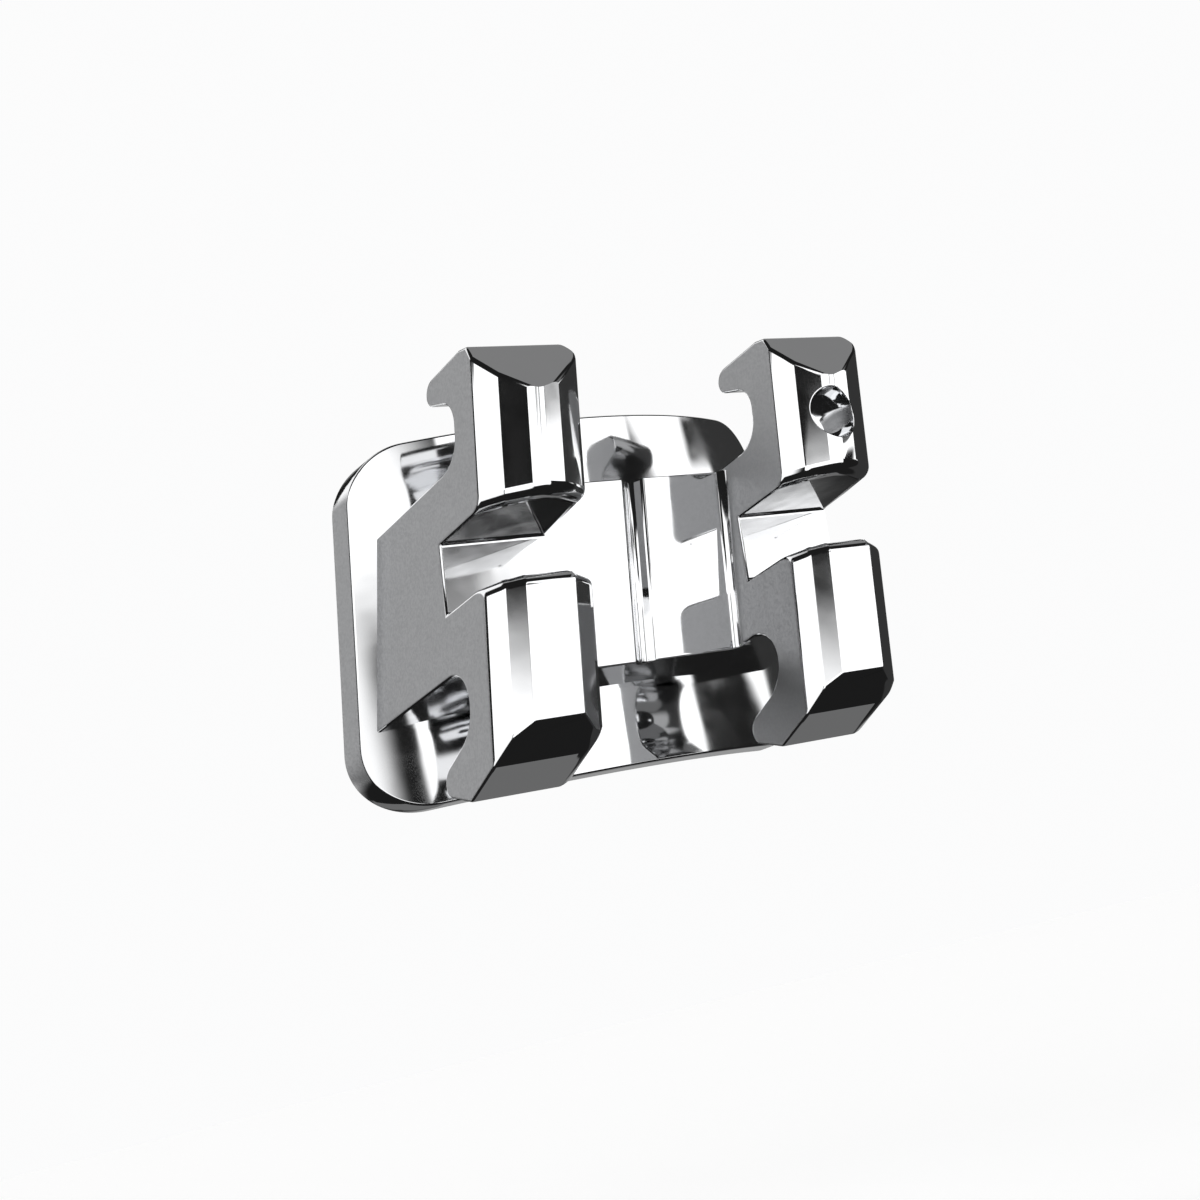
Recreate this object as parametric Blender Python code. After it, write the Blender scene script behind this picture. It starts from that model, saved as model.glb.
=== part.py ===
"""Twin orthodontic bracket, one solid piece of polished stainless steel.

The frame is that of a bonded bracket. X runs along the archwire, -Y points away
from the tooth and +Z is up. The origin is the middle of the bonding face on the
back of the pad. The work is done in millimetres and scaled to metres at the end,
because the smallest rounds measure a few hundredths of a millimetre.
"""

import bpy
import bmesh
import math
from collections import namedtuple
from mathutils import Matrix, Vector

METRES_PER_MM = 0.001

# Archwire slot, for a wire of 0.022 by 0.028 inch
SLOT_HEIGHT = 0.56
SLOT_DEPTH = 0.63
SLOT_TORQUE = math.radians(5.35)
SLOT_LEAD_IN = 0.10

# Two wing pairs, each a bar that runs from top to bottom
BAR_WIDTH = 0.945
BAR_GAP = 1.906
BAR_TIP = 0.195
EDGE_ROUND = 0.025

# Necks that carry the wings and the web between them, up and down from the slot's middle
NECK_ABOVE = 0.785
NECK_BELOW = 0.755
WEB_ABOVE = 0.76
WEB_BELOW = 0.775
WEB_BELOW_SLOT_FLOOR = 0.19
WEB_FILLET = 0.08
WEB_SUNK = 0.10
MARK_PLACE = 0.03
MARK_WIDTH = 0.195
MARK_DEPTH = 0.07
MARK_FLOOR = 0.05

# Pad that is bonded to the tooth
PAD_RADIUS = 4.53
PAD_THICKNESS = 0.28
PAD_TO_SLOT_FLOOR = 0.75
PAD_TOP = 1.485
PAD_TOP_RISE = 0.037
PAD_BOTTOM = 1.53
PAD_MARGIN_LEFT = 0.17
PAD_MARGIN_RIGHT = 0.50
PAD_CORNER = 0.575
PAD_UPPER_LEFT_CORNER = 0.46
PAD_TIP = 0.14

# Pockets in the bonding face that the adhesive locks into
POCKET_SIZE = 0.25
POCKET_WALL = 0.13
POCKET_DEPTH = 0.10
POCKET_TAPER = 0.85
POCKET_BORDER = 0.20

# Round recess that marks one wing
RECESS_DIAMETER = 0.44
RECESS_DEPTH = 0.13
RECESS_HEIGHT = 0.87

# Angles in radians and a distance that tell flat, round and sharp places apart
FLAT_ANGLE = math.radians(0.5)
SHARP_ANGLE = math.radians(35)
TOUCH = 0.002

# Steps along the rounds
LEAD_IN_STEPS = 4
EDGE_STEPS = 2
FILLET_STEPS = 5
WING_ROUND_STEPS = 7
CORNER_STEPS = 6
PAD_CORNER_STEPS = 10
PAD_ARC_STEPS = 48
RECESS_STEPS = 32

# How far a cutter runs past what it cuts
OVERRUN = 0.5

# Profile of a rounded edge, where 0.5 is a true round
ROUND_PROFILE = 0.5

# Polished stainless steel
STEEL_COLOUR = (0.78, 0.78, 0.80, 1.0)
STEEL_ROUGHNESS = 0.08

# Side outline of one wing, seen along X, with y from the slot floor (negative to
# the front) and z away from the slot's middle. The undercut and the hook beyond it
# are straight runs between rounds, and the hook's back is upright.
Wing = namedtuple("Wing", "undercut_y undercut_z undercut_radius hook_y hook_inner_z hook_outer_z "
                          "hook_radius crest_y crest_z shoulder_y shoulder_z face_slope corner_radius")
UPPER_WING = Wing(undercut_y=-0.30, undercut_z=1.285, undercut_radius=0.235,
                  hook_y=0.13, hook_inner_z=1.405, hook_outer_z=1.594, hook_radius=0.11,
                  crest_y=-0.44, crest_z=1.65, shoulder_y=-0.56, shoulder_z=1.63,
                  face_slope=1.64, corner_radius=0.20)
LOWER_WING = Wing(undercut_y=-0.31, undercut_z=1.21, undercut_radius=0.27,
                  hook_y=0.115, hook_inner_z=1.423, hook_outer_z=1.596, hook_radius=0.12,
                  crest_y=-0.27, crest_z=1.71, shoulder_y=-0.63, shoulder_z=1.535,
                  face_slope=1.29, corner_radius=0.24)

# Crown of a wing's front, seen from above: share of the bar's width, and rise
# past the front edge of its sides
UPPER_CROWN = ((0.0, 0.0), (0.185, 0.10), (0.46, 0.21), (0.55, 0.21), (0.70, 0.163), (0.93, 0.05),
               (1.0, 0.0))
LOWER_CROWN = ((0.0, 0.0), (0.10, 0.10), (0.27, 0.19), (0.715, 0.19), (0.93, 0.05), (1.0, 0.0))

BASE_TO_SLOT_FLOOR = PAD_TO_SLOT_FLOOR + PAD_THICKNESS
CROWN_RISE = max(rise for share, rise in UPPER_CROWN + LOWER_CROWN)
BAR_LEFT_SIDES = (-BAR_GAP / 2 - BAR_WIDTH, BAR_GAP / 2)
PAD_LEFT = BAR_LEFT_SIDES[0] - PAD_MARGIN_LEFT
PAD_RIGHT = BAR_LEFT_SIDES[1] + BAR_WIDTH + PAD_MARGIN_RIGHT
PAD_REACH = max(-PAD_LEFT, PAD_RIGHT) + PAD_TIP * max(PAD_TOP, PAD_BOTTOM) + TOUCH


def clear_scene():
    for item in list(bpy.data.objects):
        bpy.data.objects.remove(item, do_unlink=True)


def arc(centre, radius, start, end, steps):
    """Points along an arc, angles in degrees, both ends included."""
    points = []
    for step in range(steps + 1):
        angle = math.radians(start + (end - start) * step / steps)
        points.append((centre[0] + radius * math.cos(angle), centre[1] + radius * math.sin(angle)))
    return points


def prism(name, outline, axis, start, end):
    """Closed prism of a 2D outline, extruded along one axis from start to end."""
    place = {
        "x": lambda p, along: (along, p[0], p[1]),
        "y": lambda p, along: (p[0], along, p[1]),
        "z": lambda p, along: (p[0], p[1], along),
    }[axis]
    work = bmesh.new()
    floor = [work.verts.new(place(point, start)) for point in outline]
    face = work.faces.new(floor)
    swept = bmesh.ops.extrude_face_region(work, geom=[face])
    moved = [item for item in swept["geom"] if isinstance(item, bmesh.types.BMVert)]
    shift = Vector(place((0.0, 0.0), end)) - Vector(place((0.0, 0.0), start))
    bmesh.ops.translate(work, verts=moved, vec=shift)
    bmesh.ops.recalc_face_normals(work, faces=work.faces)
    return object_from(work, name)


def object_from(work, name):
    mesh = bpy.data.meshes.new(name)
    work.to_mesh(mesh)
    work.free()
    item = bpy.data.objects.new(name, mesh)
    bpy.context.scene.collection.objects.link(item)
    return item


def combine(target, other, operation):
    """Apply one exact boolean to target and delete the other object."""
    cut = target.modifiers.new(operation.lower(), "BOOLEAN")
    cut.operation = operation
    cut.solver = "EXACT"
    cut.object = other
    depsgraph = bpy.context.evaluated_depsgraph_get()
    result = bpy.data.meshes.new_from_object(target.evaluated_get(depsgraph))
    target.modifiers.clear()
    target.data = result
    bpy.data.objects.remove(other, do_unlink=True)
    return target


def lean(item, tip):
    """Shear an object sideways with height, as a bracket with angulation has it."""
    shear = Matrix.Identity(4)
    shear[0][2] = tip
    item.data.transform(shear)
    return item


def rounded(corners, steps):
    """Outline through corners given as (y, z, radius), each with its own round."""
    points = []
    for i, (y, z, radius) in enumerate(corners):
        corner = Vector((y, z))
        if radius == 0.0:
            points.append(corner)
            continue
        back = (Vector(corners[i - 1][:2]) - corner).normalized()
        on = (Vector(corners[(i + 1) % len(corners)][:2]) - corner).normalized()
        half = back.angle(on) / 2
        centre = corner + (back + on).normalized() * radius / math.sin(half)
        first = corner + back * radius / math.tan(half) - centre
        last = corner + on * radius / math.tan(half) - centre
        points += [centre + radius * first.slerp(last, step / steps) for step in range(steps + 1)]
    return points


def pad_depth(x, thickness):
    """Where a face of the pad lies, thickness in front of its back, at a place across it."""
    axis = PAD_RADIUS - PAD_THICKNESS
    return axis - math.sqrt((axis + thickness) ** 2 - x ** 2)


def neck_line(height, from_floor):
    """Height of the neck's upper or lower side, which both follow the torque."""
    return height - math.tan(SLOT_TORQUE) * from_floor


def neck_end():
    """Distance from the slot floor to the necks' ends, past the pad's edges."""
    return pad_depth(PAD_REACH, 0.0) + BASE_TO_SLOT_FLOOR


def wing_corners(wing, height, side):
    """Corners of one wing from its neck to its front; side is 1 up or -1 down."""
    root = side * neck_line(side * height, wing.undercut_y)
    front_y = -(SLOT_DEPTH + CROWN_RISE + OVERRUN)
    front_z = wing.shoulder_z + wing.face_slope * (front_y - wing.shoulder_y)
    corners = [
        (wing.undercut_y, root, wing.undercut_radius),
        (wing.undercut_y, wing.undercut_z, wing.undercut_radius),
        (wing.hook_y, wing.hook_inner_z, wing.hook_radius),
        (wing.hook_y, wing.hook_outer_z, wing.hook_radius),
        (wing.crest_y, wing.crest_z, 0.0),
        (wing.shoulder_y, wing.shoulder_z, 0.0),
        (front_y, front_z, 0.0),
    ]
    return [(y - BASE_TO_SLOT_FLOOR, side * z, radius) for y, z, radius in corners]


def bar_outline():
    """Side outline of a whole bar, which runs on through the pad."""
    end = neck_end()
    upper = [(end - BASE_TO_SLOT_FLOOR, neck_line(NECK_ABOVE, end), 0.0)]
    upper += wing_corners(UPPER_WING, NECK_ABOVE, 1)
    lower = [(end - BASE_TO_SLOT_FLOOR, neck_line(-NECK_BELOW, end), 0.0)]
    lower += wing_corners(LOWER_WING, NECK_BELOW, -1)
    return rounded(upper + lower[::-1], WING_ROUND_STEPS)


def crown_cutter(name, crown, side):
    """What lies in front of a wing's crowned face, above or below the slot."""
    front = -(BASE_TO_SLOT_FLOOR + SLOT_DEPTH)
    far = front - CROWN_RISE - 2 * OVERRUN
    face = [(share * BAR_WIDTH, front - rise) for share, rise in crown]
    outline = [(-OVERRUN, far), (-OVERRUN, front)] + face
    outline += [(BAR_WIDTH + OVERRUN, front), (BAR_WIDTH + OVERRUN, far)]
    return prism(name, outline, "z", 0.0, side * (UPPER_WING.crest_z + OVERRUN))


def corner_cutter(name, wing, side):
    """What lies outside the round of a wing's outer right corner, seen from the front."""
    radius = wing.corner_radius
    centre = (BAR_WIDTH - radius, wing.crest_z - radius)
    points = arc(centre, radius, 0, 90, CORNER_STEPS)
    points += [(centre[0], wing.crest_z + OVERRUN), (BAR_WIDTH + OVERRUN, wing.crest_z + OVERRUN)]
    points += [(BAR_WIDTH + OVERRUN, centre[1])]
    outline = [(x, side * z) for x, z in points]
    start = -(BASE_TO_SLOT_FLOOR + SLOT_DEPTH + CROWN_RISE + OVERRUN)
    return prism(name, outline, "y", start, wing.hook_y - BASE_TO_SLOT_FLOOR + OVERRUN)


def slot_cutter(name):
    """Straight box of the archwire slot, turned by the torque about the slot floor."""
    half = SLOT_HEIGHT / 2
    depth = SLOT_DEPTH + CROWN_RISE + OVERRUN
    outline = [(0.0, -half), (0.0, half), (-depth, half), (-depth, -half)]
    turned = []
    for y, z in outline:
        turned.append((y * math.cos(SLOT_TORQUE) + z * math.sin(SLOT_TORQUE) - BASE_TO_SLOT_FLOOR,
                       -y * math.sin(SLOT_TORQUE) + z * math.cos(SLOT_TORQUE)))
    return prism(name, turned, "x", -OVERRUN, BAR_WIDTH + OVERRUN)


def round_edges(item, chosen, radius, steps):
    """Round the edges of an object for which chosen(edge) holds."""
    work = bmesh.new()
    work.from_mesh(item.data)
    bmesh.ops.dissolve_limit(work, angle_limit=FLAT_ANGLE, verts=work.verts, edges=work.edges)
    work.normal_update()
    edges = [edge for edge in work.edges if chosen(edge)]
    bmesh.ops.bevel(work, geom=edges, offset=radius, offset_type="OFFSET", segments=steps,
                    profile=ROUND_PROFILE, affect="EDGES", clamp_overlap=True)
    bmesh.ops.recalc_face_normals(work, faces=work.faces)
    work.to_mesh(item.data)
    work.free()
    return item


def is_mouth_edge(edge):
    """An edge where the crown of a wing meets a wall of the slot."""
    front = -(BASE_TO_SLOT_FLOOR + SLOT_DEPTH)
    for corner in edge.verts:
        from_floor = corner.co.y + BASE_TO_SLOT_FLOOR
        across = corner.co.z * math.cos(SLOT_TORQUE) + from_floor * math.sin(SLOT_TORQUE)
        if corner.co.y > front + TOUCH or abs(abs(across) - SLOT_HEIGHT / 2) > TOUCH:
            return False
    return True


def is_sharp_edge(edge):
    return len(edge.link_faces) == 2 and edge.calc_face_angle() > SHARP_ANGLE


def build_bar(name):
    """One wing pair with its neck, its left side at x = 0 and still upright."""
    bar = prism(name, bar_outline(), "x", 0.0, BAR_WIDTH)
    combine(bar, crown_cutter("upper_crown", UPPER_CROWN, 1), "DIFFERENCE")
    combine(bar, crown_cutter("lower_crown", LOWER_CROWN, -1), "DIFFERENCE")
    combine(bar, slot_cutter("slot"), "DIFFERENCE")
    round_edges(bar, is_mouth_edge, SLOT_LEAD_IN, LEAD_IN_STEPS)
    clean(round_edges(bar, is_sharp_edge, EDGE_ROUND, EDGE_STEPS))
    combine(bar, corner_cutter("upper_corner", UPPER_WING, 1), "DIFFERENCE")
    return combine(bar, corner_cutter("lower_corner", LOWER_WING, -1), "DIFFERENCE")


def build_pad(name):
    corners = (
        (PAD_RIGHT, PAD_TOP + PAD_TOP_RISE * PAD_RIGHT, PAD_CORNER),
        (PAD_LEFT, PAD_TOP + PAD_TOP_RISE * PAD_LEFT, PAD_UPPER_LEFT_CORNER),
        (PAD_LEFT, -PAD_BOTTOM, PAD_CORNER),
        (PAD_RIGHT, -PAD_BOTTOM, PAD_CORNER),
    )
    outline = rounded(corners, PAD_CORNER_STEPS)
    pad = prism(name, outline, "y", -PAD_THICKNESS - OVERRUN, pad_depth(PAD_REACH, 0.0) + OVERRUN)
    inner = PAD_RADIUS - PAD_THICKNESS
    reach = math.degrees(math.asin(PAD_REACH / inner))
    front = arc((0.0, inner), PAD_RADIUS, 270 - reach, 270 + reach, PAD_ARC_STEPS)
    back = arc((0.0, inner), inner, 270 + reach, 270 - reach, PAD_ARC_STEPS)
    shell = prism("shell", front + back, "z", -PAD_BOTTOM - OVERRUN, PAD_TOP + OVERRUN)
    return combine(lean(pad, PAD_TIP), shell, "INTERSECT")


def seat(item):
    """Cut what a neck or the web has behind the middle of the pad's wall."""
    inner = PAD_RADIUS - PAD_THICKNESS
    circle = arc((0.0, inner), PAD_RADIUS - PAD_THICKNESS / 2, 0, 360, 4 * PAD_ARC_STEPS)[:-1]
    hollow = prism("hollow", circle, "z", -PAD_BOTTOM - OVERRUN, PAD_TOP + OVERRUN)
    return combine(item, hollow, "DIFFERENCE")


def build_web(name):
    """Web between the necks, with a round up each neck and the upright mark in its face."""
    side = BAR_GAP / 2 + WEB_SUNK
    inner = BAR_GAP / 2 - WEB_FILLET
    face = WEB_BELOW_SLOT_FLOOR - BASE_TO_SLOT_FLOOR
    edge = face - WEB_FILLET
    end = neck_end() - BASE_TO_SLOT_FLOOR
    mark = [(-MARK_WIDTH / 2, 0.0), (-MARK_FLOOR / 2, MARK_DEPTH),
            (MARK_FLOOR / 2, MARK_DEPTH), (MARK_WIDTH / 2, 0.0)]
    plan = [(side, end), (-side, end), (-side, edge)]
    plan += arc((-inner, edge), WEB_FILLET, 180, 90, FILLET_STEPS)
    plan += [(MARK_PLACE + x, face + y) for x, y in mark]
    plan += arc((inner, edge), WEB_FILLET, 90, 0, FILLET_STEPS) + [(side, edge)]
    web = prism(name, plan, "z", -PAD_BOTTOM, PAD_TOP)
    section = [(y, neck_line(height, y + BASE_TO_SLOT_FLOOR)) for y, height in (
        (edge - TOUCH, WEB_ABOVE), (end + TOUCH, WEB_ABOVE),
        (end + TOUCH, -WEB_BELOW), (edge - TOUCH, -WEB_BELOW))]
    combine(web, prism("section", section, "x", -side - TOUCH, side + TOUCH), "INTERSECT")
    return lean(web, BAR_TIP)


def cut_recess(bar):
    """Round recess with a flat floor in the crown of the upper right wing."""
    crest = -(BASE_TO_SLOT_FLOOR + SLOT_DEPTH + max(rise for share, rise in UPPER_CROWN))
    ridge = sum(share for share, rise in UPPER_CROWN[2:4]) / 2
    middle = BAR_LEFT_SIDES[1] + ridge * BAR_WIDTH + BAR_TIP * RECESS_HEIGHT
    rim = arc((middle, RECESS_HEIGHT), RECESS_DIAMETER / 2, 0, 360, RECESS_STEPS)[:-1]
    return combine(bar, prism("recess", rim, "y", crest - OVERRUN, crest + RECESS_DEPTH), "DIFFERENCE")


def pocket_places():
    """Middles of the pockets, as places along the back's curve and heights."""
    pitch = POCKET_SIZE + POCKET_WALL
    middle = (PAD_LEFT + PAD_RIGHT) / 2
    half_width = (PAD_RIGHT - PAD_LEFT) / 2 - POCKET_BORDER - POCKET_SIZE / 2
    half_height = (PAD_TOP + PAD_BOTTOM) / 2 - POCKET_BORDER - POCKET_SIZE / 2
    columns = int(half_width / pitch)
    rows = int(half_height / pitch)
    corner = max(PAD_CORNER, PAD_UPPER_LEFT_CORNER) - POCKET_BORDER
    places = []
    for column in range(-columns, columns + 1):
        for row in range(-rows, rows + 1):
            along, up = column * pitch, row * pitch
            past = max(abs(along) - half_width + corner, 0.0), max(abs(up) - half_height + corner, 0.0)
            if math.hypot(*past) <= corner:
                height = up + (PAD_TOP - PAD_BOTTOM) / 2
                places.append((middle + along + PAD_TIP * height, height))
    return places


def cut_pockets(pad):
    """Square pockets in the back of the pad, each one square to the curve."""
    radius = PAD_RADIUS - PAD_THICKNESS
    work = bmesh.new()
    for along, height in pocket_places():
        turn = math.asin(along / radius)
        outward = Vector((math.sin(turn), -math.cos(turn), 0.0))
        across = Vector((math.cos(turn), math.sin(turn), 0.0))
        axis = Vector((0.0, radius, height))
        rings = []
        for depth, size in ((-POCKET_DEPTH, POCKET_SIZE), (POCKET_DEPTH, POCKET_SIZE * POCKET_TAPER)):
            centre = axis + outward * (radius + depth)
            corners = ((-1, -1), (1, -1), (1, 1), (-1, 1))
            rings.append([work.verts.new(centre + across * (a * size / 2) + Vector((0, 0, b * size / 2)))
                          for a, b in corners])
        near, deep = rings
        work.faces.new(near)
        work.faces.new(deep[::-1])
        for i in range(4):
            work.faces.new((near[i], near[i - 1], deep[i - 1], deep[i]))
    bmesh.ops.recalc_face_normals(work, faces=work.faces)
    return combine(pad, object_from(work, "pockets"), "DIFFERENCE")


def clean(item):
    """Join points that the cuts left closer than any real edge is long."""
    work = bmesh.new()
    work.from_mesh(item.data)
    bmesh.ops.remove_doubles(work, verts=work.verts, dist=TOUCH)
    bmesh.ops.dissolve_degenerate(work, dist=TOUCH, edges=work.edges)
    bmesh.ops.triangulate(work, faces=[face for face in work.faces if len(face.verts) > 4])
    work.to_mesh(item.data)
    work.free()
    return item


def steel():
    material = bpy.data.materials.new("polished_steel")
    material.use_nodes = True
    shader = material.node_tree.nodes["Principled BSDF"]
    shader.inputs["Base Color"].default_value = STEEL_COLOUR
    shader.inputs["Metallic"].default_value = 1.0
    shader.inputs["Roughness"].default_value = STEEL_ROUGHNESS
    return material


def main():
    clear_scene()
    bracket = cut_pockets(build_pad("bracket"))
    combine(bracket, seat(build_web("web")), "UNION")
    for left in BAR_LEFT_SIDES:
        bar = build_bar("bar")
        bar.data.transform(Matrix.Translation((left, 0.0, 0.0)))
        seat(lean(bar, BAR_TIP))
        if left == BAR_LEFT_SIDES[1]:
            cut_recess(bar)
        combine(bracket, clean(bar), "UNION")
    clean(bracket)
    bracket.data.transform(Matrix.Scale(METRES_PER_MM, 4))
    bracket.data.shade_smooth()
    bracket.data.set_sharp_from_angle(angle=SHARP_ANGLE)
    bracket.data.materials.clear()
    bracket.data.materials.append(steel())


main()
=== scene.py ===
import math
from collections import namedtuple

import bmesh
import bpy
from mathutils import Matrix, Vector


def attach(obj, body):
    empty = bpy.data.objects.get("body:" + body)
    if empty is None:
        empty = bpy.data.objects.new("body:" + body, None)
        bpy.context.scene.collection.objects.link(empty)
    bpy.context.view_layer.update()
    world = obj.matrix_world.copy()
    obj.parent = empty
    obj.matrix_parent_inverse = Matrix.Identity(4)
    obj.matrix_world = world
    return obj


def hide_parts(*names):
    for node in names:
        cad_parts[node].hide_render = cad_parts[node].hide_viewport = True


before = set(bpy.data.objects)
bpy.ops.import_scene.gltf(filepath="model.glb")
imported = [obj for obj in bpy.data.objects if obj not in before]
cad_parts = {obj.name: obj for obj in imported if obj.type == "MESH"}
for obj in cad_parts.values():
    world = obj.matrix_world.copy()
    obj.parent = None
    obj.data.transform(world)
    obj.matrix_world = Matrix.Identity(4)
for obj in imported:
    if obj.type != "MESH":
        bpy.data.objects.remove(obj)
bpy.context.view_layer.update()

# Sizes are in millimetres, and the finished mesh is scaled to metres
MM = 0.001

# Archwire slot
SLOT_HEIGHT = 0.56
SLOT_DEPTH = 0.63
SLOT_TORQUE = math.radians(5.35)
SLOT_LEAD_IN = 0.10

# Two wing pairs
BAR_WIDTH = 0.945
BAR_GAP = 1.906
BAR_TIP = 0.195
FINE_ROUND = 0.024
RIGHT_ROUND = 0.075
ABOVE_WINGS = 2.5
MOUTH_REACH = 2.5 * RIGHT_ROUND

# Necks and web
NECK_ABOVE = 0.785
NECK_BELOW = 0.755
WEB_ABOVE = 0.76
WEB_BELOW = 0.775
WEB_BELOW_SLOT_FLOOR = 0.19
WEB_FILLET = 0.08
WEB_SUNK = 0.10
MARK_PLACE = 0.03
MARK_WIDTH = 0.195
MARK_DEPTH = 0.07
MARK_FLOOR = 0.05

# Pad
PAD_RADIUS = 4.53
PAD_THICKNESS = 0.28
PAD_TO_SLOT_FLOOR = 0.75
PAD_TOP = 1.485
PAD_TOP_RISE = 0.037
PAD_BOTTOM = 1.53
PAD_MARGIN_LEFT = 0.17
PAD_MARGIN_RIGHT = 0.50
PAD_CORNER = 0.575
PAD_UPPER_LEFT_CORNER = 0.46
PAD_TIP = 0.14
PAD_ROUND = 0.018
PAD_FRONT_ANGLE = 270

# Pockets in the pad's back
POCKET_SIZE = 0.25
POCKET_WALL = 0.13
POCKET_DEPTH = 0.10
POCKET_TAPER = 0.85
POCKET_BORDER = 0.20
POCKET_CORNER = 0.05

# Round recess, with its place as a share of the wing's width
RECESS_PLACE = 0.51
RECESS_DIAMETER = 0.44
RECESS_DEPTH = 0.27
RECESS_RIM = 0.011
RECESS_HEIGHT = 0.87

# How far cutters run past what they cut, at large and at least, and what counts as touching
OVERRUN = 0.5
OVERLAP = 0.002
TOUCH = 0.0002

# What counts as flat, sharp, a crease or a round
FLAT_ANGLE = math.radians(0.1)
SHARP_ANGLE = math.radians(35)
CREASE_ANGLE = math.radians(7)
ROUND_FACE_WIDTH = 0.025
FLAT_AREA = 0.04
FACE_WEIGHT = 100

# What counts as a face of a wing's crown, or of the pad's round faces
CROWN_REACH = 0.01
CURVE_TOUCH = 0.0015
CROWN_INWARD = 0.003
CROWN_INWARD_PART = 3
CURVE_LIKE = 0.98

# Steps of arcs and rounds, with the degrees of one step where they vary
ROUND_DEGREES = 5.0
PAD_CORNER_DEGREES = 3.0
POCKET_CORNER_DEGREES = 22.5
WING_CORNER_STEPS = 18
PAD_STEPS = 160
SEAT_STEPS = 192
FILLET_STEPS = 16
RECESS_STEPS = 96
LEAD_IN_STEPS = 8
EDGE_STEPS = 3
WEB_EDGE_STEPS = 2
RIM_STEPS = 2
ROUND_PROFILE = 0.5

# Wing outlines seen along X, as corners (y from the slot floor, z from the slot's middle, radius)
UPPER_WING = ((-0.30, None, 0.235), (-0.30, 1.285, 0.235), (0.13, 1.405, 0.11), (0.13, 1.594, 0.11),
              (-0.44, 1.65, 0.0), (-0.56, 1.63, 0.0))
UPPER_FRONT_SLOPE = 1.64
UPPER_CORNER = 0.20
LOWER_WING = ((-0.31, None, 0.27), (-0.31, 1.21, 0.27), (0.115, 1.423, 0.12), (0.115, 1.596, 0.12),
              (-0.27, 1.71, 0.0), (-0.63, 1.535, 0.0))
LOWER_FRONT_SLOPE = 1.29
LOWER_CORNER = 0.24

# Crowns seen from above, as corners (share of the width, rise, radius)
CROWN_RISE = 0.21
UPPER_CROWN = ((0.0, 0.0, 0.0), (0.175, 0.107, 0.08), (0.39, 0.182, 0.0), (0.50, 0.204, 0.20),
               (0.70, 0.163, 0.0), (0.93, 0.05, 0.0), (1.0, 0.0, RIGHT_ROUND))
LOWER_CROWN = ((0.0, 0.0, 0.0), (0.10, 0.125, 0.08), (0.27, 0.19, 0.06), (0.715, 0.19, 0.02),
               (0.93, 0.05, 0.0), (1.0, 0.0, RIGHT_ROUND))

# Worked out from the sizes above
BASE_TO_SLOT_FLOOR = PAD_TO_SLOT_FLOOR + PAD_THICKNESS
BAR_LEFT_SIDES = (-BAR_GAP / 2 - BAR_WIDTH, BAR_GAP / 2)
PAD_LEFT = BAR_LEFT_SIDES[0] - PAD_MARGIN_LEFT
PAD_RIGHT = BAR_LEFT_SIDES[1] + BAR_WIDTH + PAD_MARGIN_RIGHT
PAD_REACH = max(-PAD_LEFT, PAD_RIGHT) + PAD_TIP * max(PAD_TOP, PAD_BOTTOM) + OVERLAP


def arc(centre, radius, start, end, steps):
    """Points of an arc from one angle to another in degrees, with both ends."""
    points = []
    for step in range(steps + 1):
        angle = math.radians(start + (end - start) * step / steps)
        points.append((centre[0] + radius * math.cos(angle), centre[1] + radius * math.sin(angle)))
    return points


def rounded(corners, degrees_per_step=ROUND_DEGREES):
    """Outline through corners given as (y, z, radius), each with its own round."""
    points = []
    for i, (y, z, radius) in enumerate(corners):
        corner = Vector((y, z))
        if radius == 0.0:
            points.append(corner)
            continue
        back = (Vector(corners[i - 1][:2]) - corner).normalized()
        on = (Vector(corners[(i + 1) % len(corners)][:2]) - corner).normalized()
        half = back.angle(on) / 2
        centre = corner + (back + on).normalized() * radius / math.sin(half)
        first = corner + back * radius / math.tan(half) - centre
        last = corner + on * radius / math.tan(half) - centre
        steps = max(2, round(math.degrees(math.pi - 2 * half) / degrees_per_step))
        points += [centre + radius * first.slerp(last, step / steps) for step in range(steps + 1)]
    return points


def object_from(work, name):
    """Turns a bmesh into an object of the scene."""
    mesh = bpy.data.meshes.new(name)
    work.to_mesh(mesh)
    work.free()
    item = bpy.data.objects.new(name, mesh)
    bpy.context.scene.collection.objects.link(item)
    return item


def prism(name, outline, axis, start, end):
    """Closed prism of a 2D outline, extruded along one axis from start to end."""
    place = {
        "x": lambda p, along: (along, p[0], p[1]),
        "y": lambda p, along: (p[0], along, p[1]),
        "z": lambda p, along: (p[0], p[1], along),
    }[axis]
    work = bmesh.new()
    floor = [work.verts.new(place(point, start)) for point in outline]
    face = work.faces.new(floor)
    swept = bmesh.ops.extrude_face_region(work, geom=[face])
    moved = [item for item in swept["geom"] if isinstance(item, bmesh.types.BMVert)]
    shift = Vector(place((0.0, 0.0), end)) - Vector(place((0.0, 0.0), start))
    bmesh.ops.translate(work, verts=moved, vec=shift)
    bmesh.ops.recalc_face_normals(work, faces=work.faces)
    return object_from(work, name)


def combine(target, other, operation):
    """Applies a Boolean with another object, which it uses up."""
    cut = target.modifiers.new(operation.lower(), "BOOLEAN")
    cut.operation = operation
    cut.solver = "EXACT"
    cut.object = other
    depsgraph = bpy.context.evaluated_depsgraph_get()
    result = bpy.data.meshes.new_from_object(target.evaluated_get(depsgraph))
    target.modifiers.clear()
    target.data = result
    bpy.data.objects.remove(other, do_unlink=True)
    return target


def clean(item):
    """Merges vertices that touch and drops faces and edges without size."""
    work = bmesh.new()
    work.from_mesh(item.data)
    bmesh.ops.remove_doubles(work, verts=work.verts, dist=TOUCH)
    bmesh.ops.dissolve_degenerate(work, dist=TOUCH, edges=work.edges)
    work.to_mesh(item.data)
    work.free()
    return item


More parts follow.
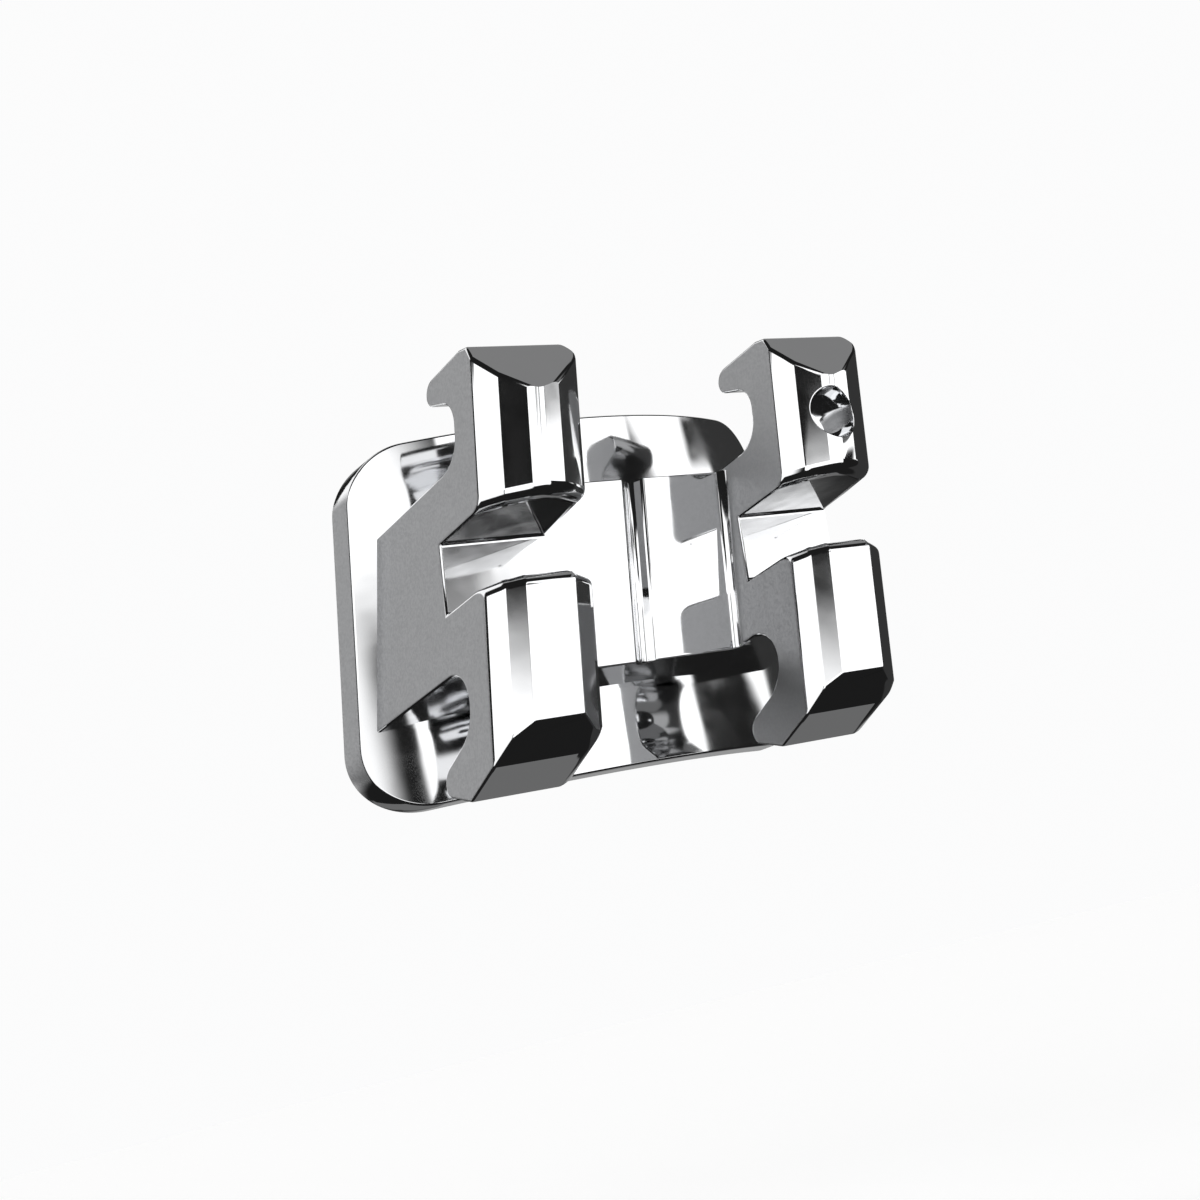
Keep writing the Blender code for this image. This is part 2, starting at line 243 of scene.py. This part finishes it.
def lean(item, tip):
    """Shears an object sideways by its height, which keeps flat faces flat."""
    shear = Matrix.Identity(4)
    shear[0][2] = tip
    item.data.transform(shear)
    return item


def pad_depth(x):
    """How far the pad's back lies behind its middle at x."""
    inner = PAD_RADIUS - PAD_THICKNESS
    return inner - math.sqrt(inner ** 2 - x ** 2)


def neck_line(height, from_floor):
    """Height of a neck's top or bottom at a distance behind the slot's floor."""
    return height - math.tan(SLOT_TORQUE) * from_floor


def neck_end():
    """Distance from the slot's floor to the plane where necks and web end, inside the pad."""
    return pad_depth(PAD_REACH) + BASE_TO_SLOT_FLOOR


def wing_corners(wing, front_slope, height, side):
    """A wing's outline from its neck to past the crown, for side 1 (upper) or -1 (lower)."""
    root = side * neck_line(side * height, wing[0][0])
    shoulder_y, shoulder_z = wing[-1][:2]
    front_y = -(SLOT_DEPTH + CROWN_RISE + OVERRUN)
    corners = [(wing[0][0], root, wing[0][2])] + list(wing[1:])
    corners.append((front_y, shoulder_z + front_slope * (front_y - shoulder_y), 0.0))
    return [(y - BASE_TO_SLOT_FLOOR, side * z, radius) for y, z, radius in corners]


def bar_outline():
    """A neck with both of its wings, seen along X."""
    end = neck_end()
    upper = [(end - BASE_TO_SLOT_FLOOR, neck_line(NECK_ABOVE, end), 0.0)]
    upper += wing_corners(UPPER_WING, UPPER_FRONT_SLOPE, NECK_ABOVE, 1)
    lower = [(end - BASE_TO_SLOT_FLOOR, neck_line(-NECK_BELOW, end), 0.0)]
    lower += wing_corners(LOWER_WING, LOWER_FRONT_SLOPE, NECK_BELOW, -1)
    return rounded(upper + lower[::-1])


def crown_cutter(name, crown, side):
    """What lies in front of a wing's crown."""
    front = -(BASE_TO_SLOT_FLOOR + SLOT_DEPTH)
    far = front - CROWN_RISE - 2 * OVERRUN
    behind = front + 2 * RIGHT_ROUND
    corners = [(-OVERRUN, far, 0.0), (-OVERRUN, front, 0.0)]
    corners += [(share * BAR_WIDTH, front - rise, radius) for share, rise, radius in crown]
    corners += [(BAR_WIDTH, behind, 0.0), (BAR_WIDTH + OVERRUN, behind, 0.0),
                (BAR_WIDTH + OVERRUN, far, 0.0)]
    return prism(name, rounded(corners), "z", 0.0, side * ABOVE_WINGS)


def corner_cutter(name, radius, ridge, slope, side):
    """Rounds the right end of a facet that runs through the ridge point (y, z) with a slope."""
    ridge_y, ridge_z = ridge[:2]
    centre = (BAR_WIDTH - radius, ridge_z - radius)
    points = arc(centre, radius, 0, 90, WING_CORNER_STEPS)
    points += [(centre[0], ridge_z + OVERRUN), (BAR_WIDTH + OVERRUN, ridge_z + OVERRUN)]
    points += [(BAR_WIDTH + OVERRUN, centre[1])]
    start = -(BASE_TO_SLOT_FLOOR + SLOT_DEPTH + CROWN_RISE + OVERRUN)
    outline = [(x, side * z) for x, z in points]
    cutter = prism(name, outline, "y", start, OVERRUN)
    follow = Matrix.Identity(4)
    follow[2][1] = side * slope
    follow[2][3] = -side * slope * (ridge_y - BASE_TO_SLOT_FLOOR)
    cutter.data.transform(follow)
    return cutter


def round_corners(bar):
    """Rounds the wings' right corners: one cut above, and one for each facet below."""
    crest, shoulder = LOWER_WING[4], LOWER_WING[5]
    shoulder_slope = (crest[1] - shoulder[1]) / (crest[0] - shoulder[0])
    combine(bar, corner_cutter("corner", UPPER_CORNER, UPPER_WING[4], 0.0, 1), "DIFFERENCE")
    for ridge, slope in ((crest, 0.0), (crest, shoulder_slope), (shoulder, LOWER_FRONT_SLOPE)):
        combine(bar, corner_cutter("corner", LOWER_CORNER, ridge, slope, -1), "DIFFERENCE")
    return bar


def slot_cutter(name):
    half = SLOT_HEIGHT / 2
    depth = SLOT_DEPTH + CROWN_RISE + OVERRUN
    turned = []
    for y, z in ((0.0, -half), (0.0, half), (-depth, half), (-depth, -half)):
        turned.append((y * math.cos(SLOT_TORQUE) + z * math.sin(SLOT_TORQUE) - BASE_TO_SLOT_FLOOR,
                       -y * math.sin(SLOT_TORQUE) + z * math.cos(SLOT_TORQUE)))
    return prism(name, turned, "x", -OVERRUN, BAR_WIDTH + OVERRUN)


def round_edges(item, chosen, radius, steps):
    """Rounds the edges that the chosen test picks."""
    work = bmesh.new()
    work.from_mesh(item.data)
    bmesh.ops.dissolve_limit(work, angle_limit=FLAT_ANGLE, verts=work.verts, edges=work.edges)
    work.normal_update()
    edges = [edge for edge in work.edges if chosen(edge)]
    bmesh.ops.bevel(work, geom=edges, offset=radius, offset_type="OFFSET", segments=steps,
                    profile=ROUND_PROFILE, affect="EDGES", clamp_overlap=False)
    bmesh.ops.recalc_face_normals(work, faces=work.faces)
    work.to_mesh(item.data)
    work.free()
    return item


def is_mouth_edge(edge):
    """Whether an edge is one of the slot's two lead-ins."""
    front = -(BASE_TO_SLOT_FLOOR + SLOT_DEPTH) + MOUTH_REACH
    for corner in edge.verts:
        from_floor = corner.co.y + BASE_TO_SLOT_FLOOR
        across = corner.co.z * math.cos(SLOT_TORQUE) + from_floor * math.sin(SLOT_TORQUE)
        if corner.co.y > front or abs(abs(across) - SLOT_HEIGHT / 2) > TOUCH:
            return False
    return is_sharp_edge(edge)


def is_sharp_edge(edge):
    return len(edge.link_faces) == 2 and edge.calc_face_angle() > SHARP_ANGLE


def build_bar(name):
    bar = prism(name, bar_outline(), "x", 0.0, BAR_WIDTH)
    combine(bar, crown_cutter("upper_crown", UPPER_CROWN, 1), "DIFFERENCE")
    combine(bar, crown_cutter("lower_crown", LOWER_CROWN, -1), "DIFFERENCE")
    combine(bar, slot_cutter("slot"), "DIFFERENCE")
    round_edges(bar, is_mouth_edge, SLOT_LEAD_IN, LEAD_IN_STEPS)
    clean(round_edges(bar, is_sharp_edge, FINE_ROUND, EDGE_STEPS))
    return round_corners(bar)


def build_pad(name):
    corners = (
        (PAD_RIGHT, PAD_TOP + PAD_TOP_RISE * PAD_RIGHT, PAD_CORNER),
        (PAD_LEFT, PAD_TOP + PAD_TOP_RISE * PAD_LEFT, PAD_UPPER_LEFT_CORNER),
        (PAD_LEFT, -PAD_BOTTOM, PAD_CORNER),
        (PAD_RIGHT, -PAD_BOTTOM, PAD_CORNER),
    )
    pad = prism(name, rounded(corners, PAD_CORNER_DEGREES), "y", -PAD_THICKNESS - OVERRUN,
                pad_depth(PAD_REACH) + OVERRUN)
    inner = PAD_RADIUS - PAD_THICKNESS
    reach = math.degrees(math.asin(PAD_REACH / inner))
    left, right = PAD_FRONT_ANGLE - reach, PAD_FRONT_ANGLE + reach
    front = arc((0.0, inner), PAD_RADIUS, left, right, PAD_STEPS)
    back = arc((0.0, inner), inner, right, left, PAD_STEPS)
    shell = prism("shell", front + back, "z", -PAD_BOTTOM - OVERRUN, PAD_TOP + OVERRUN)
    return combine(lean(pad, PAD_TIP), shell, "INTERSECT")


def seat(item):
    """Ends a piece in the middle of the pad's thickness."""
    inner = PAD_RADIUS - PAD_THICKNESS
    circle = arc((0.0, inner), PAD_RADIUS - PAD_THICKNESS / 2, 0, 360, SEAT_STEPS)[:-1]
    hollow = prism("hollow", circle, "z", -PAD_BOTTOM - OVERRUN, PAD_TOP + OVERRUN)
    return combine(item, hollow, "DIFFERENCE")


def build_web(name):
    side = BAR_GAP / 2 + WEB_SUNK
    inner = BAR_GAP / 2 - WEB_FILLET
    face = WEB_BELOW_SLOT_FLOOR - BASE_TO_SLOT_FLOOR
    edge = face - WEB_FILLET
    end = neck_end() - BASE_TO_SLOT_FLOOR
    mark = [(-MARK_WIDTH / 2, 0.0), (-MARK_FLOOR / 2, MARK_DEPTH),
            (MARK_FLOOR / 2, MARK_DEPTH), (MARK_WIDTH / 2, 0.0)]
    plan = [(side, end), (-side, end), (-side, edge)]
    plan += arc((-inner, edge), WEB_FILLET, 180, 90, FILLET_STEPS)
    plan += [(MARK_PLACE + x, face + y) for x, y in mark]
    plan += arc((inner, edge), WEB_FILLET, 90, 0, FILLET_STEPS) + [(side, edge)]
    web = prism(name, plan, "z", -PAD_BOTTOM, PAD_TOP)
    section = [(y, neck_line(height, y + BASE_TO_SLOT_FLOOR)) for y, height in (
        (edge - OVERLAP, WEB_ABOVE), (end + OVERLAP, WEB_ABOVE),
        (end + OVERLAP, -WEB_BELOW), (edge - OVERLAP, -WEB_BELOW))]
    combine(web, prism("section", section, "x", -side - OVERLAP, side + OVERLAP), "INTERSECT")
    clean(round_edges(web, is_sharp_edge, FINE_ROUND, WEB_EDGE_STEPS))
    return lean(web, BAR_TIP)


def cut_recess(bar):
    crest = -(BASE_TO_SLOT_FLOOR + SLOT_DEPTH + CROWN_RISE)
    middle = BAR_LEFT_SIDES[1] + RECESS_PLACE * BAR_WIDTH + BAR_TIP * RECESS_HEIGHT
    radius = RECESS_DIAMETER / 2
    rim = arc((middle, RECESS_HEIGHT), radius, 0, 360, RECESS_STEPS)[:-1]
    combine(bar, prism("recess", rim, "y", crest - OVERRUN, crest + RECESS_DEPTH), "DIFFERENCE")

    def is_rim_edge(edge):
        return is_sharp_edge(edge) and all(
            corner.co.y < crest + RECESS_DEPTH - TOUCH
            and abs(math.hypot(corner.co.x - middle, corner.co.z - RECESS_HEIGHT) - radius) < TOUCH
            for corner in edge.verts)

    return round_edges(bar, is_rim_edge, RECESS_RIM, RIM_STEPS)


def pocket_places():
    """Places (x, z) of the pockets, as rows and columns that stay off the pad's border."""
    pitch = POCKET_SIZE + POCKET_WALL
    middle = (PAD_LEFT + PAD_RIGHT) / 2
    half_width = (PAD_RIGHT - PAD_LEFT) / 2 - POCKET_BORDER - POCKET_SIZE / 2
    half_height = (PAD_TOP + PAD_BOTTOM) / 2 - POCKET_BORDER - POCKET_SIZE / 2
    columns = int(half_width / pitch)
    rows = int(half_height / pitch)
    corner = max(PAD_CORNER, PAD_UPPER_LEFT_CORNER) - POCKET_BORDER
    places = []
    for column in range(-columns, columns + 1):
        for row in range(-rows, rows + 1):
            along, up = column * pitch, row * pitch
            past = (max(abs(along) - half_width + corner, 0.0),
                    max(abs(up) - half_height + corner, 0.0))
            if math.hypot(*past) <= corner:
                height = up + (PAD_TOP - PAD_BOTTOM) / 2
                places.append((middle + along + PAD_TIP * height, height))
    return places


def cut_pockets(pad):
    radius = PAD_RADIUS - PAD_THICKNESS
    work = bmesh.new()
    for along, height in pocket_places():
        turn = math.asin(along / radius)
        outward = Vector((math.sin(turn), -math.cos(turn), 0.0))
        across = Vector((math.cos(turn), math.sin(turn), 0.0))
        axis = Vector((0.0, radius, height))
        rings = []
        for depth, size in ((-POCKET_DEPTH, POCKET_SIZE), (POCKET_DEPTH, POCKET_SIZE * POCKET_TAPER)):
            centre = axis + outward * (radius + depth)
            corners = [(a * size / 2, b * size / 2, POCKET_CORNER)
                       for a, b in ((-1, -1), (1, -1), (1, 1), (-1, 1))]
            outline = rounded(corners, POCKET_CORNER_DEGREES)
            rings.append([work.verts.new(centre + across * point[0] + Vector((0, 0, point[1])))
                          for point in outline])
        near, deep = rings
        work.faces.new(near)
        work.faces.new(deep[::-1])
        for i in range(len(near)):
            work.faces.new((near[i], near[i - 1], deep[i - 1], deep[i]))
    bmesh.ops.recalc_face_normals(work, faces=work.faces)
    return combine(pad, object_from(work, "pockets"), "DIFFERENCE")


def build_bracket():
    bracket = build_pad("bracket_body")
    clean(round_edges(bracket, is_sharp_edge, PAD_ROUND, EDGE_STEPS))
    cut_pockets(bracket)
    combine(bracket, seat(build_web("web")), "UNION")
    for left in BAR_LEFT_SIDES:
        bar = build_bar("bar")
        bar.data.transform(Matrix.Translation((left, 0.0, 0.0)))
        seat(lean(bar, BAR_TIP))
        if left == BAR_LEFT_SIDES[1]:
            cut_recess(bar)
        combine(bracket, clean(bar), "UNION")
    clean(bracket)
    bracket.data.transform(Matrix.Scale(MM, 4))
    return bracket


def is_break(edge):
    """Whether an edge parts two wide faces, and so isn't part of a round."""
    if len(edge.link_faces) != 2:
        return True
    angle = edge.calc_face_angle(0.0)
    if angle > SHARP_ANGLE:
        return True
    widths = [face.calc_area() / max(side.calc_length() for side in face.edges)
              for face in edge.link_faces]
    return angle > CREASE_ANGLE and min(widths) > ROUND_FACE_WIDTH * MM


def crown_corners(crown):
    """Corners (x, rise, radius) of a crown with a point on each side of it."""
    corners = [(share * BAR_WIDTH, rise, radius) for share, rise, radius in crown]
    return [(-OVERRUN, 0.0, 0.0)] + corners + [(BAR_WIDTH, -OVERRUN, 0.0)]


def crown_shape(crown, x):
    """Rise and slope angle of a crown at x, with its corners as true rounds."""
    corners = crown_corners(crown)
    for i in range(1, len(corners) - 1):
        (x0, rise0, _), (x1, rise1, radius), (x2, rise2, _) = corners[i - 1:i + 2]
        before = math.atan2(rise1 - rise0, x1 - x0)
        after = math.atan2(rise2 - rise1, x2 - x1)
        tangent = radius * math.tan(abs(after - before) / 2)
        first = x1 - tangent * math.cos(before)
        last = x1 + tangent * math.cos(after)
        if x <= first:
            return rise1 - (x1 - x) * math.tan(before), before
        if x < last:
            turn = math.copysign(1.0, after - before)
            angle = math.asin(max(-1.0, min(1.0, math.sin(before) + turn * (x - first) / radius)))
            start = rise1 - (x1 - first) * math.tan(before)
            return start + turn * radius * (math.cos(before) - math.cos(angle)), angle
    return 0.0, -math.pi / 2


def crown_normals(corners, centre):
    """True normals for a face of a wing's crown, or None for any other face."""
    left = BAR_LEFT_SIDES[1] if centre.x > 0 else BAR_LEFT_SIDES[0]
    crown = UPPER_CROWN if centre.z > 0 else LOWER_CROWN
    middle = centre.x - BAR_TIP * centre.z - left
    normals = []
    for corner in corners:
        x = corner.x - BAR_TIP * corner.z - left
        rise = -(BASE_TO_SLOT_FLOOR + SLOT_DEPTH) - corner.y
        if not CROWN_REACH < x < BAR_WIDTH - CROWN_REACH:
            return None
        if abs(rise - crown_shape(crown, x)[0]) > CURVE_TOUCH:
            return None
        inward = max(-CROWN_INWARD, min(CROWN_INWARD, (middle - x) / CROWN_INWARD_PART))
        angle = crown_shape(crown, x + inward)[1]
        normal = Vector((-math.sin(angle), -math.cos(angle), BAR_TIP * math.sin(angle)))
        normals.append(normal.normalized())
    return normals


def pad_normals(corners):
    """True normals for a face of the pad's round front or back, or None for any other face."""
    spokes = [Vector((corner.x, corner.y - PAD_RADIUS + PAD_THICKNESS, 0.0)) for corner in corners]
    for radius, way in ((PAD_RADIUS, 1.0), (PAD_RADIUS - PAD_THICKNESS, -1.0)):
        if all(abs(spoke.length - radius) < CURVE_TOUCH for spoke in spokes):
            return [way * spoke.normalized() for spoke in spokes]
    return None


def smooth(item):
    """Shades rounds smooth and gives flats, crowns and the pad their true normals."""
    item.data.shade_smooth()
    work = bmesh.new()
    work.from_mesh(item.data)
    for edge in work.edges:
        edge.smooth = not is_break(edge)
    work.to_mesh(item.data)
    work.free()
    weigh = item.modifiers.new("weigh", "WEIGHTED_NORMAL")
    weigh.mode = "FACE_AREA"
    weigh.weight = FACE_WEIGHT
    weigh.keep_sharp = True
    depsgraph = bpy.context.evaluated_depsgraph_get()
    weighed = bpy.data.meshes.new_from_object(item.evaluated_get(depsgraph))
    normals = [Vector(corner.vector) for corner in weighed.corner_normals]
    for face in weighed.polygons:
        corners = [weighed.vertices[index].co / MM for index in face.vertices]
        true = crown_normals(corners, face.center / MM) or pad_normals(corners)
        if true is None and face.area > FLAT_AREA * MM ** 2:
            true = [face.normal.copy() for _ in corners]
        if true is not None and face.normal.dot(true[0]) > CURVE_LIKE:
            for loop, normal in zip(face.loop_indices, true):
                normals[loop] = normal
    item.modifiers.clear()
    item.data = weighed
    weighed.normals_split_custom_set(normals)


# Steel. Each noise has a length in millimetres and a level of detail. The satin roughness and grain,
# and a darker colour that is painted shade, come in where the X of a face's normal runs from the
# first value of SATIN_AND_SHADE_FROM to the second.
STEEL_COLOUR = (0.885, 0.89, 0.90, 1.0)
MIRROR_ROUGHNESS = (0.04, 0.085)
# Painted shade: the darker colour of faces that face left or right, standing in for the grey of their
# blurred reflection
SIDE_PAINTED_SHADE_COLOUR = (0.33, 0.333, 0.34, 1.0)
SATIN_ROUGHNESS = (0.40, 0.50)
SATIN_AND_SHADE_FROM = (0.90, 0.97)
HAZE = (0.45, 4.0)
GRAIN = (0.022, 3.0)
RIPPLE = (0.30, 1.0)
NOISE_RANGE = (0.35, 0.65)
GRAIN_HEIGHT = 0.0007
RIPPLE_HEIGHT = 0.0006
WHITE = (1.0, 1.0, 1.0, 1.0)

# Sockets of the mix node, whose names repeat
MIX_VALUES = slice(2, 4)
MIX_COLOURS = slice(6, 8)
MIXED_COLOUR = 2


def link(tree, source, target):
    tree.links.new(source, target)


def noise(tree, place, length, detail):
    """Noise with features about as long as asked, in millimetres."""
    node = tree.nodes.new("ShaderNodeTexNoise")
    node.inputs["Scale"].default_value = 1.0 / (length * MM)
    node.inputs["Detail"].default_value = detail
    link(tree, place, node.inputs["Vector"])
    return node.outputs["Fac"]


def spread(tree, value, low, high, start=NOISE_RANGE[0], end=NOISE_RANGE[1]):
    """Map a value that runs from start to end onto low to high, with soft ends."""
    node = tree.nodes.new("ShaderNodeMapRange")
    node.interpolation_type = "SMOOTHSTEP"
    for name, number in (("From Min", start), ("From Max", end), ("To Min", low), ("To Max", high)):
        node.inputs[name].default_value = number
    link(tree, value, node.inputs["Value"])
    return node.outputs["Result"]


def calculate(tree, operation, first, second=None):
    """One step of arithmetic on numbers or sockets."""
    node = tree.nodes.new("ShaderNodeMath")
    node.operation = operation
    for socket, value in zip(node.inputs, (first, second)):
        if isinstance(value, (int, float)):
            socket.default_value = value
        elif value is not None:
            link(tree, value, socket)
    return node.outputs["Value"]


def blend_values(tree, share, first, second):
    node = tree.nodes.new("ShaderNodeMix")
    link(tree, share, node.inputs["Factor"])
    for socket, value in zip(node.inputs[MIX_VALUES], (first, second)):
        if isinstance(value, (int, float)):
            socket.default_value = value
        else:
            link(tree, value, socket)
    return node.outputs["Result"]


def blend_colours(tree, share, first, second):
    node = tree.nodes.new("ShaderNodeMix")
    node.data_type = "RGBA"
    link(tree, share, node.inputs["Factor"])
    for socket, colour in zip(node.inputs[MIX_COLOURS], (first, second)):
        socket.default_value = colour
    return node.outputs[MIXED_COLOUR]


def bump(tree, height, distance, under=None):
    node = tree.nodes.new("ShaderNodeBump")
    node.inputs["Strength"].default_value = 1.0
    node.inputs["Distance"].default_value = distance * MM
    link(tree, height, node.inputs["Height"])
    if under is not None:
        link(tree, under, node.inputs["Normal"])
    return node.outputs["Normal"]


def polished_steel():
    """Mirror polish all over, and on what faces left or right a rougher satin grain with a darker
    colour that is painted shade.
    """
    material = bpy.data.materials.new("polished_steel_with_painted_side_shade")
    material.use_nodes = True
    tree = material.node_tree
    shader = tree.nodes["Principled BSDF"]
    shader.inputs["Metallic"].default_value = 1.0
    places = tree.nodes.new("ShaderNodeTexCoord")
    split = tree.nodes.new("ShaderNodeSeparateXYZ")
    link(tree, places.outputs["Normal"], split.inputs["Vector"])
    side = spread(tree, calculate(tree, "ABSOLUTE", split.outputs["X"]), 0.0, 1.0, *SATIN_AND_SHADE_FROM)
    # The darker colour on faces that face left or right is painted shade; their roughness and grain
    # below are the satin finish
    link(tree, blend_colours(tree, side, STEEL_COLOUR, SIDE_PAINTED_SHADE_COLOUR), shader.inputs["Base Color"])
    place = places.outputs["Object"]
    haze = spread(tree, noise(tree, place, *HAZE), *MIRROR_ROUGHNESS)
    grain = noise(tree, place, *GRAIN)
    satin = spread(tree, grain, *SATIN_ROUGHNESS)
    link(tree, blend_values(tree, side, haze, satin), shader.inputs["Roughness"])
    ripple = bump(tree, noise(tree, place, *RIPPLE), RIPPLE_HEIGHT)
    height = calculate(tree, "MULTIPLY", grain, side)
    link(tree, bump(tree, height, GRAIN_HEIGHT, ripple), shader.inputs["Normal"])
    return material


bracket = build_bracket()
bracket.data.materials.clear()
bracket.data.materials.append(polished_steel())
smooth(bracket)
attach(bracket, "root")
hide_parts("bracket")

# Camera, fitted to the photograph: place in millimetres, turn in degrees
CAMERA_PLACE = (-8.9058, -13.2676, -3.0170)
CAMERA_TURN = (100.7206, 13.5037, -31.7678)
CAMERA_LENS = 57.767
CAMERA_SENSOR = 36.0
CAMERA_NEAR = 0.0005
CAMERA_FAR = 2.0


def add_camera():
    data = bpy.data.cameras.new("camera")
    data.lens = CAMERA_LENS
    data.sensor_width = CAMERA_SENSOR
    data.clip_start = CAMERA_NEAR
    data.clip_end = CAMERA_FAR
    camera = bpy.data.objects.new("camera", data)
    camera.location = [length * MM for length in CAMERA_PLACE]
    camera.rotation_euler = [math.radians(angle) for angle in CAMERA_TURN]
    bpy.context.scene.collection.objects.link(camera)
    bpy.context.scene.camera = camera
    bpy.context.scene.view_settings.view_transform = "Standard"


# Studio. Each softbox or dark card covers a range of directions seen from the object, in
# degrees: azimuth from the front (-Y) towards +X, and height above the horizon. Its lean moves
# its sides with height, and its tilt moves its top and bottom with azimuth. A later panel
# covers an earlier one, and where there is no panel the studio is dim.
Panel = namedtuple("Panel", "left right low high light side_softness end_softness tilt lean",
                   defaults=(0.0, 0.0))
DIM = 0.012
TILT_ABOUT = -12.0
LEAN_ABOUT = 20.0
PANELS = {
    "wall_behind": Panel(-202, -118, -6, 75, 1.05, 12, 24),
    "card_behind": Panel(112, 158, -10, 60, 0.4, 12, 24),
    "key_box": Panel(-88, -18.5, 11.5, 37, 1.35, 2, 4),
    "low_left_box": Panel(-90, -26.5, -20, 12.5, 1.15, 8, 4),
    "low_front_box": Panel(-18.7, 2, -20, 17.5, 1.4, 1, 5, -0.25),
    "front_box": Panel(1, 54, 4.5, 20, 1.4, 1.5, 3),
    "side_strip": Panel(52, 82, 8, 12.9, 1.4, 1.5, 1.2),
    "front_box_foot": Panel(-2.5, 54, -12, 8, 1.4, 1.5, 3),
    "front_box_left_top": Panel(7, 12, 16, 35, 1.4, 2, 3),
    "front_box_top": Panel(10, 41, 27, 35, 1.4, 2, 3),
    "grey_card": Panel(25, 32, 17, 21, 0.25, 2, 2),
    "front_box_right_top": Panel(33, 41, 16, 35, 1.4, 1.5, 3),
    "dim_card": Panel(50, 74, 20, 30, 0.14, 6, 4),
    "tilted_box": Panel(38, 83, 42, 51.5, 1.4, 3, 2, -0.4),
    "dark_card_right": Panel(74, 92, 13.6, 15.2, 0.025, 3, 0.5),
    "ceiling_right": Panel(91.5, 170, 44, 90, 0.22, 10, 6, 0.0, -0.55),
    "wall_right": Panel(84, 130, -30, 24, 0.035, 2, 4),
    "ground_right": Panel(175, 255, -86, -16, 0.15, 3, 4, 0.0, 0.96),
}
BACKGROUND = (0.97, 0.97, 0.972, 1.0)


def within(tree, value, low, high, softness):
    """Gives 1 between low and high and 0 outside, with soft ends."""
    rise = spread(tree, value, 0.0, 1.0, low - softness / 2, low + softness / 2)
    fall = spread(tree, value, 1.0, 0.0, high - softness / 2, high + softness / 2)
    return calculate(tree, "MULTIPLY", rise, fall)


def studio_world():
    """Light by direction for the steel and the floor, and a plain background for the camera."""
    world = bpy.data.worlds.new("studio")
    bpy.context.scene.world = world
    world.use_nodes = True
    tree = world.node_tree
    split = tree.nodes.new("ShaderNodeSeparateXYZ")
    link(tree, tree.nodes.new("ShaderNodeTexCoord").outputs["Generated"], split.inputs["Vector"])
    toward = calculate(tree, "MULTIPLY", split.outputs["Y"], -1.0)
    azimuth = calculate(tree, "DEGREES", calculate(tree, "ARCTAN2", split.outputs["X"], toward))
    height = calculate(tree, "DEGREES", calculate(tree, "ARCSINE", split.outputs["Z"]))
    past = calculate(tree, "SUBTRACT", azimuth, TILT_ABOUT)
    above = calculate(tree, "SUBTRACT", height, LEAN_ABOUT)
    light = DIM
    for panel in PANELS.values():
        level = calculate(tree, "SUBTRACT", height, calculate(tree, "MULTIPLY", past, panel.tilt))
        across = calculate(tree, "SUBTRACT", azimuth, calculate(tree, "MULTIPLY", above, panel.lean))
        share = calculate(tree, "MULTIPLY",
                          within(tree, across, panel.left, panel.right, panel.side_softness),
                          within(tree, level, panel.low, panel.high, panel.end_softness))
        light = blend_values(tree, share, light, panel.light)
    studio = tree.nodes["Background"]
    link(tree, light, studio.inputs["Strength"])
    studio.inputs["Color"].default_value = WHITE
    plain = tree.nodes.new("ShaderNodeBackground")
    plain.inputs["Color"].default_value = BACKGROUND
    path = tree.nodes.new("ShaderNodeLightPath")
    mix = tree.nodes.new("ShaderNodeMixShader")
    link(tree, path.outputs["Is Camera Ray"], mix.inputs["Fac"])
    link(tree, studio.outputs["Background"], mix.inputs[1])
    link(tree, plain.outputs["Background"], mix.inputs[2])
    link(tree, mix.outputs["Shader"], tree.nodes["World Output"].inputs["Surface"])


# Floor, well below the bracket
FLOOR_HEIGHT = -6.0
FLOOR_RADIUS = 80.0
FLOOR_STEPS = 96
FLOOR_COLOUR = (0.95, 0.95, 0.95, 1.0)
FLOOR_GLOW = 0.612


def add_floor():
    """A pale floor with a little glow, so that it meets the background without a line."""
    work = bmesh.new()
    rim = arc((0.0, 0.0), FLOOR_RADIUS * MM, 0, 360, FLOOR_STEPS)[:-1]
    work.faces.new([work.verts.new((x, y, FLOOR_HEIGHT * MM)) for x, y in rim])
    floor = object_from(work, "floor")
    material = bpy.data.materials.new("plain_pale")
    material.use_nodes = True
    shader = material.node_tree.nodes["Principled BSDF"]
    shader.inputs["Base Color"].default_value = FLOOR_COLOUR
    shader.inputs["Roughness"].default_value = 1.0
    shader.inputs["Specular IOR Level"].default_value = 0.0
    shader.inputs["Emission Color"].default_value = WHITE
    shader.inputs["Emission Strength"].default_value = FLOOR_GLOW
    floor.data.materials.append(material)
    floor.visible_glossy = False


add_camera()
studio_world()
add_floor()
